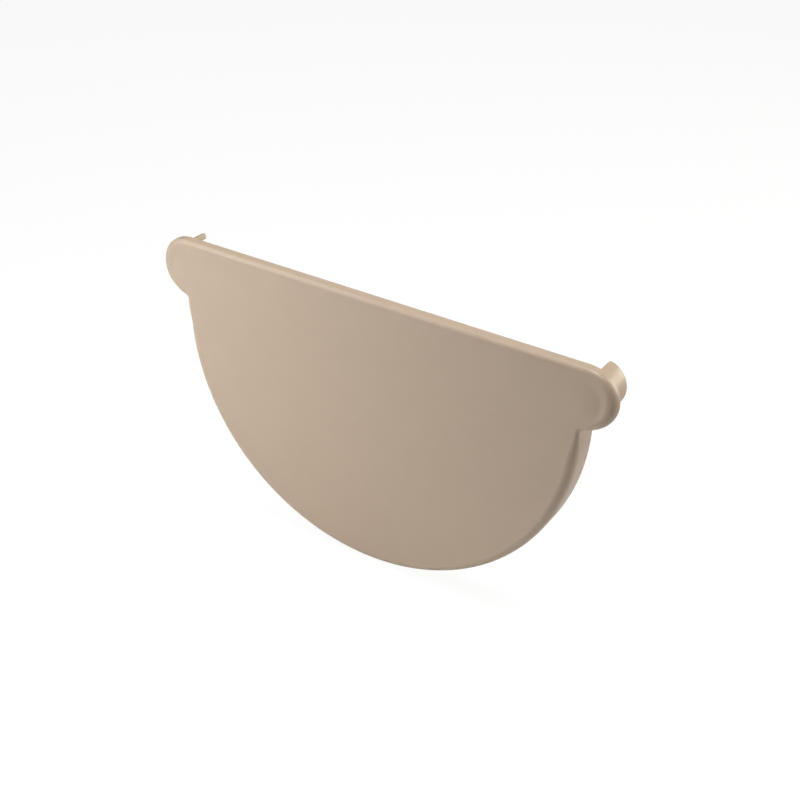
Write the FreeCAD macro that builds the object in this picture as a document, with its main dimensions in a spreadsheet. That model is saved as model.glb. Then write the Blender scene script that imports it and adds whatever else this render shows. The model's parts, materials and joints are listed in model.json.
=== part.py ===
import FreeCAD, Part
import math
import os

import Sketcher

# Gutter end cap, moulded in one piece. It closes the end of a half-round rain gutter.
#
# The frame: X runs across the gutter, Y along it and away from the cap's face, Z up. The origin is
# on the centre line of the gutter's half-round body, in the plane where the gutter's cut end stops
# against the inside of the plate. The face looks along -Y.
#
# The gutter's own section drives the cap: the skirt fits round its body, the rib fits inside it, and
# a hook behind each ear reaches over the bead that is rolled along each of its edges.

DIMENSIONS = [
    ("gutter_radius", 60.5, "outside radius of the gutter's half-round body"),
    ("gutter_wall", 1.8, "thickness of the gutter's wall"),
    ("bead_radius", 5.2, "radius of the bead along each edge of the gutter"),
    ("bead_outset", 1.8, "bead's centre, outwards from the gutter's outside"),
    ("bead_rise", 13.2, "bead's centre above the centre of the half-round"),
    ("fit_clearance", 0.2, "gap between the gutter and each face of the cap beside it"),
    ("plate_thickness", 2.0, "plate that closes the gutter"),
    ("edge_rounding", 2.8, "rounding of the face's outer edge"),
    ("rim_wall", 1.8, "thickness of the rim that runs round the plate"),
    ("rim_depth", 3.2, "rim's rear edge behind the face, along the top and round the ears"),
    ("ear_margin", 2.0, "ear's edge outside the hook"),
    ("notch_rounding", 1.2, "hollow corner between an ear and the skirt"),
    ("skirt_depth", 9.2, "skirt's rear edge behind the face"),
    ("rib_wall", 1.4, "thickness of the rib that stands inside the gutter"),
    ("rib_depth", 6.6, "rib's rear edge behind the face"),
    ("rib_gap", 0.6, "gap between the rib's upper ends and the bead"),
    ("hook_wall", 1.5, "thickness of a hook"),
    ("hook_step", 2.3, "hook's rear edge behind the skirt's"),
    ("hook_reach", 77.0, "hook's free end, in degrees up from level round the bead"),
    ("hook_corner", 1.1, "rounding of the hook's rear corner at its free end"),
    ("edge_break", 0.3, "bevel that takes the sharpness off the rear edges"),
]

# Sizes that several features share, put together from the dimensions.
SKIRT_INNER = "(Sizes.gutter_radius + Sizes.fit_clearance)"
SKIRT_OUTER = f"({SKIRT_INNER} + Sizes.rim_wall)"
RIB_OUTER = "(Sizes.gutter_radius - Sizes.gutter_wall - Sizes.fit_clearance)"
RIB_INNER = f"({RIB_OUTER} - Sizes.rib_wall)"
BEAD_X = "(Sizes.gutter_radius + Sizes.bead_outset)"
HOOK_INNER = "(Sizes.bead_radius + Sizes.fit_clearance)"
HOOK_OUTER = f"({HOOK_INNER} + Sizes.hook_wall)"
EAR_RADIUS = f"({HOOK_OUTER} + Sizes.ear_margin)"
TOP_EDGE = f"(Sizes.bead_rise + {EAR_RADIUS})"
RIM_INSIDE_TOP = f"({TOP_EDGE} - Sizes.rim_wall)"
SKIRT_TOP = f"(Sizes.bead_rise - {HOOK_INNER} - Sizes.hook_wall / 2)"
RIB_TOP = "(Sizes.bead_rise - Sizes.bead_radius - Sizes.rib_gap)"

# Places along Y. The gutter's end stops at zero.
FACE_PLANE = "(-Sizes.plate_thickness)"
STOP_PLANE = "0"
RIM_PLANE = "(Sizes.rim_depth - Sizes.plate_thickness)"
SKIRT_ROOT = f"({RIM_PLANE} - Sizes.edge_break)"
RIB_PLANE = "(Sizes.rib_depth - Sizes.plate_thickness)"
SKIRT_PLANE = "(Sizes.skirt_depth - Sizes.plate_thickness)"
HOOK_PLANE = f"({SKIRT_PLANE} + Sizes.hook_step)"

# The places on an edge of a sketch that a constraint can hold, and what it calls the sketch's own
# origin and upright axis.
START, END, CENTRE = range(1, 4)
ORIGIN_POINT = (-1, 1)
VERTICAL_AXIS = -2
NEAR = 1e-4

doc = FreeCAD.newDocument("gutter_end_cap")


def make_sheet():
    """The driving dimensions, one row each: name, value and what it is."""
    sheet = doc.addObject("Spreadsheet::Sheet", "Sizes")
    for row, (name, number, meaning) in enumerate(DIMENSIONS, start=1):
        sheet.set(f"A{row}", name)
        sheet.set(f"B{row}", str(number))
        sheet.setAlias(f"B{row}", name)
        sheet.set(f"C{row}", meaning)
    doc.recompute()
    return sheet


sheet = make_sheet()


def size(formula):
    """The value in millimetres, or degrees, of a formula of the sheet's names."""
    found = sheet.evalExpression(formula.replace("Sizes.", ""))
    return float(getattr(found, "Value", found))


def bind(sketch, constraint, formula):
    """Add a constraint and tie its value to a formula."""
    index = sketch.addConstraint(constraint)
    sketch.setExpression(f"Constraints[{index}]", formula)


class Outline:
    """A closed outline across the gutter, drawn at its true size and held there by constraints."""

    def __init__(self, body, name, plane):
        self.sketch = body.newObject("Sketcher::SketchObject", name)
        roles = {item.Role: item for item in body.Origin.OriginFeatures}
        self.sketch.AttachmentSupport = [(roles["XZ_Plane"], "")]
        self.sketch.MapMode = "FlatFace"
        # The sketch's own normal points along -Y, so a plane further back has a lower offset.
        offset = FreeCAD.Vector(0, 0, -size(plane))
        self.sketch.AttachmentOffset = FreeCAD.Placement(offset, FreeCAD.Rotation())
        self.sketch.setExpression("AttachmentOffset.Base.z", f"-1 mm * {plane}")

    def line(self, start, end):
        """A straight edge between two (x, z) points."""
        return self.sketch.addGeometry(
            Part.LineSegment(FreeCAD.Vector(*start, 0), FreeCAD.Vector(*end, 0)))

    def arc(self, centre, radius, first, last):
        """A round edge, anticlockwise from one angle in radians to another."""
        circle = Part.Circle(FreeCAD.Vector(*centre, 0), FreeCAD.Vector(0, 0, 1), radius)
        return self.sketch.addGeometry(Part.ArcOfCircle(circle, first, last))

    def join(self, one, one_end, other, other_end, smooth=False):
        """Two edges meet, and run on smoothly where the corner is smooth."""
        kind = "Tangent" if smooth else "Coincident"
        self.sketch.addConstraint(Sketcher.Constraint(kind, one, one_end, other, other_end))

    def upright(self, *edges):
        for edge in edges:
            self.sketch.addConstraint(Sketcher.Constraint("Vertical", edge))

    def level(self, *edges):
        for edge in edges:
            self.sketch.addConstraint(Sketcher.Constraint("Horizontal", edge))

    def centred(self, edge):
        """An arc's centre is on the gutter's centre line."""
        self.sketch.addConstraint(Sketcher.Constraint("Coincident", edge, CENTRE, *ORIGIN_POINT))

    def mirrored(self, right, right_end, left, left_end):
        """Two points are mirror images across the middle of the cap."""
        self.sketch.addConstraint(
            Sketcher.Constraint("Symmetric", right, right_end, left, left_end, VERTICAL_AXIS))

    def same_radius(self, one, other):
        self.sketch.addConstraint(Sketcher.Constraint("Equal", one, other))

    def radius(self, edge, formula):
        bind(self.sketch, Sketcher.Constraint("Radius", edge, size(formula)), formula)

    def across(self, edge, end, formula):
        """Distance of a point to the right of the middle."""
        rule = Sketcher.Constraint("DistanceX", *ORIGIN_POINT, edge, end, size(formula))
        bind(self.sketch, rule, formula)

    def height(self, edge, end, formula):
        """Distance of a point above the gutter's centre line."""
        rule = Sketcher.Constraint("DistanceY", *ORIGIN_POINT, edge, end, size(formula))
        bind(self.sketch, rule, formula)


def plate_outline(body):
    """The face: a straight top, a round ear at each end, and a half-round below with upright sides."""
    drawing = Outline(body, "plate_outline", FACE_PLANE)
    side = size(SKIRT_OUTER)
    ear_x = size(BEAD_X)
    ear_z = size("Sizes.bead_rise")
    ear = size(EAR_RADIUS)
    top = size(TOP_EDGE)
    notch = size("Sizes.notch_rounding")
    # The notch's arc touches the upright side and the ear, from outside both.
    notch_x = side + notch
    notch_z = ear_z - math.sqrt((ear + notch) ** 2 - (notch_x - ear_x) ** 2)
    to_ear = math.atan2(ear_z - notch_z, ear_x - notch_x)

    edge_top = drawing.line((-ear_x, top), (ear_x, top))
    ear_right = drawing.arc((ear_x, ear_z), ear, to_ear - math.pi, math.pi / 2)
    notch_right = drawing.arc((notch_x, notch_z), notch, to_ear, math.pi)
    side_right = drawing.line((side, notch_z), (side, 0))
    half_round = drawing.arc((0, 0), side, math.pi, 2 * math.pi)
    side_left = drawing.line((-side, 0), (-side, notch_z))
    notch_left = drawing.arc((-notch_x, notch_z), notch, 0, math.pi - to_ear)
    ear_left = drawing.arc((-ear_x, ear_z), ear, math.pi / 2, 2 * math.pi - to_ear)

    drawing.join(edge_top, END, ear_right, END, smooth=True)
    drawing.join(ear_right, START, notch_right, START, smooth=True)
    drawing.join(notch_right, END, side_right, START, smooth=True)
    drawing.join(side_right, END, half_round, END, smooth=True)
    drawing.join(half_round, START, side_left, START, smooth=True)
    drawing.join(side_left, END, notch_left, START, smooth=True)
    drawing.join(notch_left, END, ear_left, END, smooth=True)
    drawing.join(ear_left, START, edge_top, START, smooth=True)
    drawing.upright(side_right, side_left)
    drawing.centred(half_round)
    drawing.mirrored(ear_right, CENTRE, ear_left, CENTRE)
    drawing.same_radius(ear_right, ear_left)
    drawing.same_radius(notch_right, notch_left)
    drawing.radius(half_round, SKIRT_OUTER)
    drawing.radius(ear_right, EAR_RADIUS)
    drawing.radius(notch_right, "Sizes.notch_rounding")
    drawing.across(ear_right, CENTRE, BEAD_X)
    drawing.height(ear_right, CENTRE, "Sizes.bead_rise")
    return drawing.sketch


def hollow_outline(body):
    """The inside of the rim, with a round bay in each ear for the end of the gutter's bead."""
    drawing = Outline(body, "hollow_outline", RIM_PLANE)
    side = size(SKIRT_INNER)
    bead_x = size(BEAD_X)
    bead_z = size("Sizes.bead_rise")
    bay = size(HOOK_INNER)
    top = size(RIM_INSIDE_TOP)
    # The bay's circle crosses the line of the skirt's inside at two heights.
    cross = math.sqrt(bay ** 2 - (bead_x - side) ** 2)
    angle = math.atan2(cross, side - bead_x)

    edge_top = drawing.line((-side, top), (side, top))
    upper_right = drawing.line((side, top), (side, bead_z + cross))
    bay_right = drawing.arc((bead_x, bead_z), bay, -angle, angle)
    lower_right = drawing.line((side, bead_z - cross), (side, 0))
    half_round = drawing.arc((0, 0), side, math.pi, 2 * math.pi)
    lower_left = drawing.line((-side, 0), (-side, bead_z - cross))
    bay_left = drawing.arc((-bead_x, bead_z), bay, math.pi - angle, math.pi + angle)
    upper_left = drawing.line((-side, bead_z + cross), (-side, top))

    drawing.join(edge_top, END, upper_right, START)
    drawing.join(upper_right, END, bay_right, END)
    drawing.join(bay_right, START, lower_right, START)
    drawing.join(lower_right, END, half_round, END, smooth=True)
    drawing.join(half_round, START, lower_left, START, smooth=True)
    drawing.join(lower_left, END, bay_left, END)
    drawing.join(bay_left, START, upper_left, START)
    drawing.join(upper_left, END, edge_top, START)
    drawing.upright(upper_right, lower_right, lower_left, upper_left)
    drawing.centred(half_round)
    drawing.mirrored(bay_right, CENTRE, bay_left, CENTRE)
    drawing.mirrored(edge_top, END, edge_top, START)
    drawing.same_radius(bay_right, bay_left)
    drawing.radius(half_round, SKIRT_INNER)
    drawing.radius(bay_right, HOOK_INNER)
    drawing.across(bay_right, CENTRE, BEAD_X)
    drawing.height(bay_right, CENTRE, "Sizes.bead_rise")
    drawing.across(edge_top, END, SKIRT_INNER)
    drawing.height(edge_top, END, RIM_INSIDE_TOP)
    return drawing.sketch


def wall_outline(body, name, plane, outer_formula, inner_formula, top_formula):
    """A half-round wall with two upright arms, seen along the gutter."""
    drawing = Outline(body, name, plane)
    outer = size(outer_formula)
    inner = size(inner_formula)
    top = size(top_formula)

    outer_round = drawing.arc((0, 0), outer, math.pi, 2 * math.pi)
    outer_right = drawing.line((outer, 0), (outer, top))
    cap_right = drawing.line((outer, top), (inner, top))
    inner_right = drawing.line((inner, top), (inner, 0))
    inner_round = drawing.arc((0, 0), inner, math.pi, 2 * math.pi)
    inner_left = drawing.line((-inner, 0), (-inner, top))
    cap_left = drawing.line((-inner, top), (-outer, top))
    outer_left = drawing.line((-outer, top), (-outer, 0))

    drawing.join(outer_round, END, outer_right, START, smooth=True)
    drawing.join(outer_right, END, cap_right, START)
    drawing.join(cap_right, END, inner_right, START)
    drawing.join(inner_right, END, inner_round, END, smooth=True)
    drawing.join(inner_round, START, inner_left, START, smooth=True)
    drawing.join(inner_left, END, cap_left, START)
    drawing.join(cap_left, END, outer_left, START)
    drawing.join(outer_left, END, outer_round, START, smooth=True)
    drawing.upright(outer_right, inner_right, inner_left, outer_left)
    drawing.level(cap_right, cap_left)
    drawing.centred(outer_round)
    drawing.centred(inner_round)
    drawing.radius(outer_round, outer_formula)
    drawing.radius(inner_round, inner_formula)
    drawing.height(cap_right, START, top_formula)
    drawing.height(cap_left, END, top_formula)
    return drawing.sketch


def hook_outline(body):
    """The right hook: a curl that starts on the skirt's upper end and goes out, up and over the bead."""
    drawing = Outline(body, "hook_outline", STOP_PLANE)
    side = size(SKIRT_INNER)
    bead_x = size(BEAD_X)
    bead_z = size("Sizes.bead_rise")
    inner = size(HOOK_INNER)
    outer = size(HOOK_OUTER)
    reach = math.radians(size("Sizes.hook_reach"))
    back = side - bead_x
    inner_foot = -math.sqrt(inner ** 2 - back ** 2)
    outer_foot = -math.sqrt(outer ** 2 - back ** 2)
    inner_tip = (bead_x + inner * math.cos(reach), bead_z + inner * math.sin(reach))
    outer_tip = (bead_x + outer * math.cos(reach), bead_z + outer * math.sin(reach))

    inner_curl = drawing.arc((bead_x, bead_z), inner, math.atan2(inner_foot, back), reach)
    outer_curl = drawing.arc((bead_x, bead_z), outer, math.atan2(outer_foot, back), reach)
    tip = drawing.line(inner_tip, outer_tip)
    foot = drawing.line((side, bead_z + inner_foot), (side, bead_z + outer_foot))

    drawing.join(inner_curl, END, tip, START)
    drawing.join(tip, END, outer_curl, END)
    drawing.join(outer_curl, START, foot, END)
    drawing.join(foot, START, inner_curl, START)
    drawing.join(inner_curl, CENTRE, outer_curl, CENTRE)
    drawing.upright(foot)
    drawing.sketch.addConstraint(Sketcher.Constraint("PointOnObject", inner_curl, CENTRE, tip))
    drawing.radius(inner_curl, HOOK_INNER)
    drawing.radius(outer_curl, HOOK_OUTER)
    drawing.across(inner_curl, CENTRE, BEAD_X)
    drawing.height(inner_curl, CENTRE, "Sizes.bead_rise")
    drawing.across(foot, START, SKIRT_INNER)
    bind(drawing.sketch, Sketcher.Constraint("Angle", tip, reach), "Sizes.hook_reach * 1 deg")
    return drawing.sketch


def pad(body, name, sketch, length):
    """Material from the sketch's plane towards the rear."""
    feature = body.newObject("PartDesign::Pad", name)
    feature.Profile = sketch
    feature.Reversed = True
    feature.Refine = True
    feature.setExpression("Length", f"{length} * 1 mm")
    sketch.Visibility = False
    doc.recompute()
    return feature


def pocket_forwards(body, name, sketch, length):
    """A hollow from the sketch's plane towards the face."""
    feature = body.newObject("PartDesign::Pocket", name)
    feature.Profile = sketch
    feature.Reversed = True
    feature.Refine = True
    feature.setExpression("Length", f"{length} * 1 mm")
    sketch.Visibility = False
    doc.recompute()
    return feature


def edges_where(feature, test):
    """Names of the feature's edges that pass a test."""
    return [f"Edge{number}" for number, edge in enumerate(feature.Shape.Edges, start=1) if test(edge)]


def round_edges(body, name, base, names, radius):
    """A rounding on some edges of the feature before it."""
    feature = body.newObject("PartDesign::Fillet", name)
    feature.Base = (base, names)
    feature.setExpression("Radius", f"{radius} * 1 mm")
    doc.recompute()
    return feature


def bevel_edges(body, name, base, names, width):
    """A flat bevel at 45 degrees on some edges of the feature before it."""
    feature = body.newObject("PartDesign::Chamfer", name)
    feature.Base = (base, names)
    feature.setExpression("Size", f"{width} * 1 mm")
    doc.recompute()
    return feature


def lies_at(plane):
    """A test for an edge that lies wholly in a plane across the gutter."""
    place = size(plane)

    def test(edge):
        box = edge.BoundBox
        return abs(box.YMin - place) < NEAR and abs(box.YMax - place) < NEAR
    return test


def is_tip_corner(edge):
    """The short edge across a hook's free end, at its rear."""
    middle = edge.valueAt((edge.FirstParameter + edge.LastParameter) / 2)
    straight = edge.Curve.TypeId == "Part::GeomLine"
    return straight and lies_at(HOOK_PLANE)(edge) and middle.z > size("Sizes.bead_rise")


def end_cap():
    """The whole cap, one moulded solid."""
    body = doc.addObject("PartDesign::Body", "end_cap")
    body.Label = "end_cap"

    plate = pad(body, "plate", plate_outline(body), "Sizes.rim_depth")
    front = edges_where(plate, lies_at(FACE_PLANE))
    soft_face = round_edges(body, "face_rounding", plate, front, "Sizes.edge_rounding")
    rear = edges_where(soft_face, lies_at(RIM_PLANE))
    soft_rim = bevel_edges(body, "rim_bevel", soft_face, rear, "Sizes.edge_break")

    hollow = pocket_forwards(body, "hollow", hollow_outline(body), RIM_PLANE)
    if hollow.Shape.Volume >= soft_rim.Shape.Volume:
        raise RuntimeError("The hollow cut nothing out of the plate.")

    # The skirt starts where the rim's rear bevel does, so that its outside runs on from the rim.
    outline = wall_outline(body, "skirt_outline", SKIRT_ROOT, SKIRT_OUTER, SKIRT_INNER, SKIRT_TOP)
    skirt = pad(body, "skirt", outline, f"({SKIRT_PLANE} - {SKIRT_ROOT})")
    rear = edges_where(skirt, lies_at(SKIRT_PLANE))
    bevel_edges(body, "skirt_bevel", skirt, rear, "Sizes.edge_break")

    outline = wall_outline(body, "rib_outline", STOP_PLANE, RIB_OUTER, RIB_INNER, RIB_TOP)
    rib = pad(body, "rib", outline, RIB_PLANE)
    rear = edges_where(rib, lies_at(RIB_PLANE))
    bevel_edges(body, "rib_bevel", rib, rear, "Sizes.edge_break")

    # The hooks go on over the bevelled ends of the skirt's arms.
    hook = pad(body, "hook", hook_outline(body), HOOK_PLANE)
    hooks = body.newObject("PartDesign::Mirrored", "hooks")
    hooks.Originals = [hook]
    roles = {item.Role: item for item in body.Origin.OriginFeatures}
    hooks.MirrorPlane = (roles["YZ_Plane"], [""])
    hooks.Refine = True
    body.Tip = hooks
    doc.recompute()
    corners = edges_where(hooks, is_tip_corner)
    soft_hooks = round_edges(body, "hook_corners", hooks, corners, "Sizes.hook_corner")
    rear = edges_where(soft_hooks, lies_at(HOOK_PLANE))
    body.Tip = bevel_edges(body, "hook_bevel", soft_hooks, rear, "Sizes.edge_break")
    return body


cap = end_cap()
doc.recompute()

for item in doc.Objects:
    if "Invalid" in item.State or "Error" in item.State:
        raise RuntimeError(f"{item.Name} failed: {item.State}")
if cap.Shape.isNull() or not cap.Shape.isValid() or len(cap.Shape.Solids) != 1:
    raise RuntimeError("The cap is not one valid solid.")

os.makedirs("parts", exist_ok=True)
cap.Shape.exportStep(f"parts/{cap.Label}.step")
print(cap.Label, round(cap.Shape.Volume, 1), "mm3", cap.Shape.BoundBox)
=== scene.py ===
import json
import math

import bpy
import numpy as np
from bpy.props import FloatProperty, FloatVectorProperty, PointerProperty
from bpy.types import Operator, Panel, PropertyGroup
from mathutils import Matrix, Vector
from mathutils.geometry import delaunay_2d_cdt


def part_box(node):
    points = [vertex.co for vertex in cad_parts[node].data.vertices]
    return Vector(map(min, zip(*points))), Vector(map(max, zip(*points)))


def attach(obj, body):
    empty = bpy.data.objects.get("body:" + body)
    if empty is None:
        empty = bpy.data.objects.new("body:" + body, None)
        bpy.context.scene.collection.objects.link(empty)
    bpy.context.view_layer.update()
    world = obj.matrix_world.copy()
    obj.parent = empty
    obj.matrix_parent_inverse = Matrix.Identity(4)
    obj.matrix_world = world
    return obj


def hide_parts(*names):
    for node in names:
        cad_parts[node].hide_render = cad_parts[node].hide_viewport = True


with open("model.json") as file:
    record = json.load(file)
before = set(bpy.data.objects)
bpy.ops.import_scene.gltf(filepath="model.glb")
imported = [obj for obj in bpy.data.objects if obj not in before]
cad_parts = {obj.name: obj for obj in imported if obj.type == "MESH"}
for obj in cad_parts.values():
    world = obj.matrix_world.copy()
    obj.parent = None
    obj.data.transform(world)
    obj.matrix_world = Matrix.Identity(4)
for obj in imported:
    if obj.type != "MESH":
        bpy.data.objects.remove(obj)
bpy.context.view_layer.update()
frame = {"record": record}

# The gutter end cap's looks: one closed moulded skin in place of the plain solid, and a plain studio.
# Lengths are metres. X runs across the gutter, Y from the cap's face to its rear, Z up. A point
# across the gutter is written (x, z).

bl_info = {
    "name": "Gutter End Cap",
    "version": (1, 0, 0),
    "blender": (4, 5, 0),
    "location": "View3D > Sidebar > End Cap",
    "description": "A moulded end cap for a half-round gutter, its satin finish and a plain studio",
    "category": "Object",
}

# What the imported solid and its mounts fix.
LOW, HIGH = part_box("end_cap")
BEAD = next(mount for mount in frame["record"]["mounts"] if mount["name"] == "bead_right")
BEAD_X, BEAD_Z = BEAD["pos_m"][0], BEAD["pos_m"][2]
HOOK_INNER = BEAD["dims"]["r_mm"] * 0.001
EAR_RADIUS = HIGH.x - BEAD_X
SKIRT_RADIUS = -LOW.z
FACE_Y = LOW.y
HOOK_Y = HIGH.y
TOP_Z = HIGH.z
STOP_Y = 0.0

# Points in the same cell of this size become one vertex. The shift keeps round lengths off the borders.
WELD_STEP = 1e-7
WELD_SHIFT = 0.37
# A flat region is filled at this scale, and only inside its loop.
FILL_SCALE = 1000.0
FILL_INSIDE = 1
# A turn of the normal by this many radians a metre makes an edge sharp.
SHARP_TURN = 3000.0

# Steps along the runs, and round the sections' edges.
HALF_ROUND_STEPS = 90
SIDE_STEPS = 3
NOTCH_STEPS = 10
EAR_STEPS = 56
TOP_STEPS = 60
RIB_STEPS = 84
ARM_STEPS = 4
HOOK_STEPS = 59
HOLLOW_SIDE_STEPS = 2
HOLLOW_BEAD_STEPS = 10
EDGE_STEPS = 5
SOFT_STEPS = 20

# The hook's columns next to its tip, by their distance from it.
TIP_COLUMNS = np.array((1.6, 1.1, 0.9, 0.72, 0.56, 0.42, 0.3, 0.22, 0.15, 0.09, 0.045, 0.015, 0)) * 0.001

# The face's rings, from the outside in. The outer ones lie this far inside the soft edge. The middle
# ones have come this share of the way from there to the last of them. Its radius and those of the
# gate's rings are in radii of the gate's mark.
OUTER_RINGS = np.array((0, 0.12, 0.26, 0.42, 0.6, 0.8, 1.0, 1.2, 1.4, 1.6, 1.8, 2.05, 2.35, 2.8)) * 0.001
MIDDLE_RINGS = np.array((0.05, 0.12, 0.22, 0.34, 0.48, 0.64, 0.8, 0.92, 1.0))
LAST_MIDDLE_RING = 2.6
GATE_RINGS = np.array((2.0, 1.6, 1.3, 1.1, 1.0, 0.9, 0.8, 0.7, 0.6, 0.35, 0.0))
# Neighbours on a middle ring are this many radians apart or more. Each of the gate's rings is more
# evenly spaced by this share than the one outside it.
LEAST_ANGLE = 0.0004
EVENING = 0.2
# The inset of a point that is far from the outline.
FAR_INSIDE = 1.0

# The face's dish reaches its depth over the first width inside the soft edge, and the hook's mark
# over the second.
DISH_FADE = 0.0013
CLEAR_FADE = 0.0004
# How far a sink mark's middle is moved from its wall, its spread, and where it fades: the rib's with
# the height, and the hook's with the cosine of the angle between its lean and the way from the bead.
RIB_MARK_SHIFT = 0.0003
RIB_MARK_SPREAD = 0.0005
RIB_MARK_FADE = (0.002, 0.0065)
HOOK_MARK_SHIFT = 0.0005
HOOK_MARK_SPREAD = 0.0011
HOOK_MARK_FADE = (0.2, 0.75)
HOOK_MARK_LEAN = math.radians(15)
# The flat bottom of the gate's mark, as a share of its radius.
GATE_FLOOR = 0.65

# The soft edge narrows towards the notch over these heights, and the rim's rear rounding fades out
# over this length of its outline.
NOTCH_FADE_BELOW = 0.008
NOTCH_FADE_ABOVE = 0.0025
RIM_EDGE_FADE = 0.002


class EndCapSizes(PropertyGroup):
    """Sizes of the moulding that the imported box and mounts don't give."""

    edge_width: FloatProperty(
        name="Edge width", description="How far the face's soft edge reaches in from the outline",
        default=0.00245, unit="LENGTH", precision=5)
    edge_depth: FloatProperty(
        name="Edge depth", description="How far the face's soft edge reaches back",
        default=0.0028, unit="LENGTH", precision=4)
    top_edge: FloatProperty(
        name="Top edge", description="Radius of the face's soft edge along the top",
        default=0.0012, unit="LENGTH", precision=4)
    notch_rounding: FloatProperty(
        name="Notch rounding", description="Radius of the hollow corner between an ear and the skirt",
        default=0.0012, unit="LENGTH", precision=4)
    rim_wall: FloatProperty(
        name="Rim wall", description="Thickness of the rim and the skirt",
        default=0.0018, unit="LENGTH", precision=4)
    rim_rear: FloatProperty(
        name="Rim rear", description="Rear edge of the rim along the top and round the ears",
        default=0.0012, unit="LENGTH", precision=4)
    skirt_rear: FloatProperty(
        name="Skirt rear", description="Rear edge of the skirt",
        default=0.0072, unit="LENGTH", precision=4)
    rib_rear: FloatProperty(
        name="Rib rear", description="Rear edge of the rib that stands inside the gutter",
        default=0.0046, unit="LENGTH", precision=4)
    rib_wall: FloatProperty(
        name="Rib wall", description="Thickness of the rib",
        default=0.0014, unit="LENGTH", precision=4)
    rib_top: FloatProperty(
        name="Rib top", description="Height of the rib's upper ends",
        default=0.0074, unit="LENGTH", precision=4)
    groove: FloatProperty(
        name="Groove", description="Width of the groove that takes the gutter's wall",
        default=0.0022, unit="LENGTH", precision=4)
    hook_wall: FloatProperty(
        name="Hook wall", description="Thickness of a hook",
        default=0.0015, unit="LENGTH", precision=4)
    hook_reach: FloatProperty(
        name="Hook reach", description="Free end of a hook, up from level round the bead",
        default=math.radians(77), unit="ROTATION")
    hook_corner: FloatProperty(
        name="Hook corner", description="Rounding of the hook's rear corner at its free end",
        default=0.0011, unit="LENGTH", precision=4)
    edge_rounding: FloatProperty(
        name="Edge rounding", description="Rounding of the rear edges",
        default=0.0003, unit="LENGTH", precision=4)
    dish_depth: FloatProperty(
        name="Dish depth", description="How far the face is sunk inside its soft edge",
        default=0.00003, unit="LENGTH", precision=5)
    hook_sink: FloatProperty(
        name="Hook sink", description="Depth of the sink mark over the root of each hook",
        default=0.00015, unit="LENGTH", precision=5)
    rib_sink: FloatProperty(
        name="Rib sink", description="Depth of the sink mark over the rib",
        default=0.00002, unit="LENGTH", precision=5)
    gate_place: FloatVectorProperty(
        name="Gate place", description="Where the melt came in, across and up the face",
        size=2, default=(0.0066, -0.0007), unit="LENGTH", precision=4)
    gate_radius: FloatProperty(
        name="Gate radius", description="Radius of the round mark that the gate left",
        default=0.0011, unit="LENGTH", precision=4)
    gate_depth: FloatProperty(
        name="Gate depth", description="Depth of the round mark that the gate left",
        default=0.00003, unit="LENGTH", precision=5)


class MouldSide(PropertyGroup):
    """The surface that one side of the mould gives."""

    roughness: FloatProperty(
        name="Roughness", description="Roughness of the surface",
        default=0.36, min=0.0, max=1.0, subtype="FACTOR")
    grain_size: FloatProperty(
        name="Grain size", description="Width of a grain of the mould's surface",
        default=0.00035, unit="LENGTH", precision=5)
    grain_height: FloatProperty(
        name="Grain height", description="Height of the grain",
        default=0.000005, unit="LENGTH", precision=6)
    flecks: FloatProperty(
        name="Flecks", description="How much the grain changes the colour's brightness",
        default=0.03, min=0.0, max=1.0, subtype="FACTOR")


class EndCapFinish(PropertyGroup):
    """Colour and surface of the moulded plastic."""

    colour: FloatVectorProperty(
        name="Colour", description="Base colour of the sand plastic", subtype="COLOR",
        size=3, min=0.0, max=1.0, default=(0.568, 0.443, 0.33))
    ior: FloatProperty(
        name="Index of refraction", description="How strongly the plastic reflects", default=1.48)
    streaks: FloatProperty(
        name="Streaks", description="How much the melt's streaks change the colour's brightness",
        default=0.05, min=0.0, max=1.0, subtype="FACTOR")
    clouds: FloatProperty(
        name="Clouds", description="How much soft clouds change the colour's brightness",
        default=0.05, min=0.0, max=1.0, subtype="FACTOR")
    # A painted sheen: how much lighter the colour is made along the sharp outer edges.
    painted_edge_sheen: FloatProperty(
        name="Painted edge sheen", description="How much lighter the rubbed edges are",
        default=0.07, min=0.0, max=1.0, subtype="FACTOR")
    rubbed_gloss: FloatProperty(
        name="Rubbed gloss", description="How much less rough the rubbed edges are",
        default=0.12, min=0.0, max=1.0, subtype="FACTOR")
    core_dulling: FloatProperty(
        name="Core dulling", description="How much rougher the core side is, as its steel isn't polished",
        default=0.1, min=0.0, max=1.0, subtype="FACTOR")
    cavity: PointerProperty(type=MouldSide, name="Cavity side", description="The face and outside")
    core: PointerProperty(type=MouldSide, name="Core side", description="The rear and inside")


class EndCapStudio(PropertyGroup):
    """Camera, lights and floor."""

    azimuth: FloatProperty(
        name="Azimuth", description="Camera's turn to the right of the face's own axis",
        default=math.radians(31.42), unit="ROTATION")
    elevation: FloatProperty(
        name="Elevation", description="Camera's angle above level",
        default=math.radians(31.17), unit="ROTATION")
    roll: FloatProperty(
        name="Roll", description="Camera's turn about its own axis",
        default=math.radians(2.1), unit="ROTATION")
    distance: FloatProperty(
        name="Distance", description="From the camera to the point that it looks at",
        default=0.34899, unit="LENGTH")
    aim: FloatVectorProperty(
        name="Aim", description="The point of the face that the camera looks at, across and up",
        size=2, default=(0.01077, -0.00467), unit="LENGTH", precision=5)
    lens: FloatProperty(
        name="Lens", description="Focal length in millimetres on the studio's sensor", default=58.778)
    light_level: FloatProperty(
        name="Light level", description="Brightness of all the lights together", default=1.0, min=0.0)
    rear_glow: FloatProperty(
        name="Rear glow", description="Brightness of the room behind the cap", default=0.06, min=0.0)


NEUTRAL = (1.0, 1.0, 1.0)
WARM = (1.0, 0.92, 0.8)
WHITE = (1.0, 1.0, 1.0, 1.0)
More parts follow.
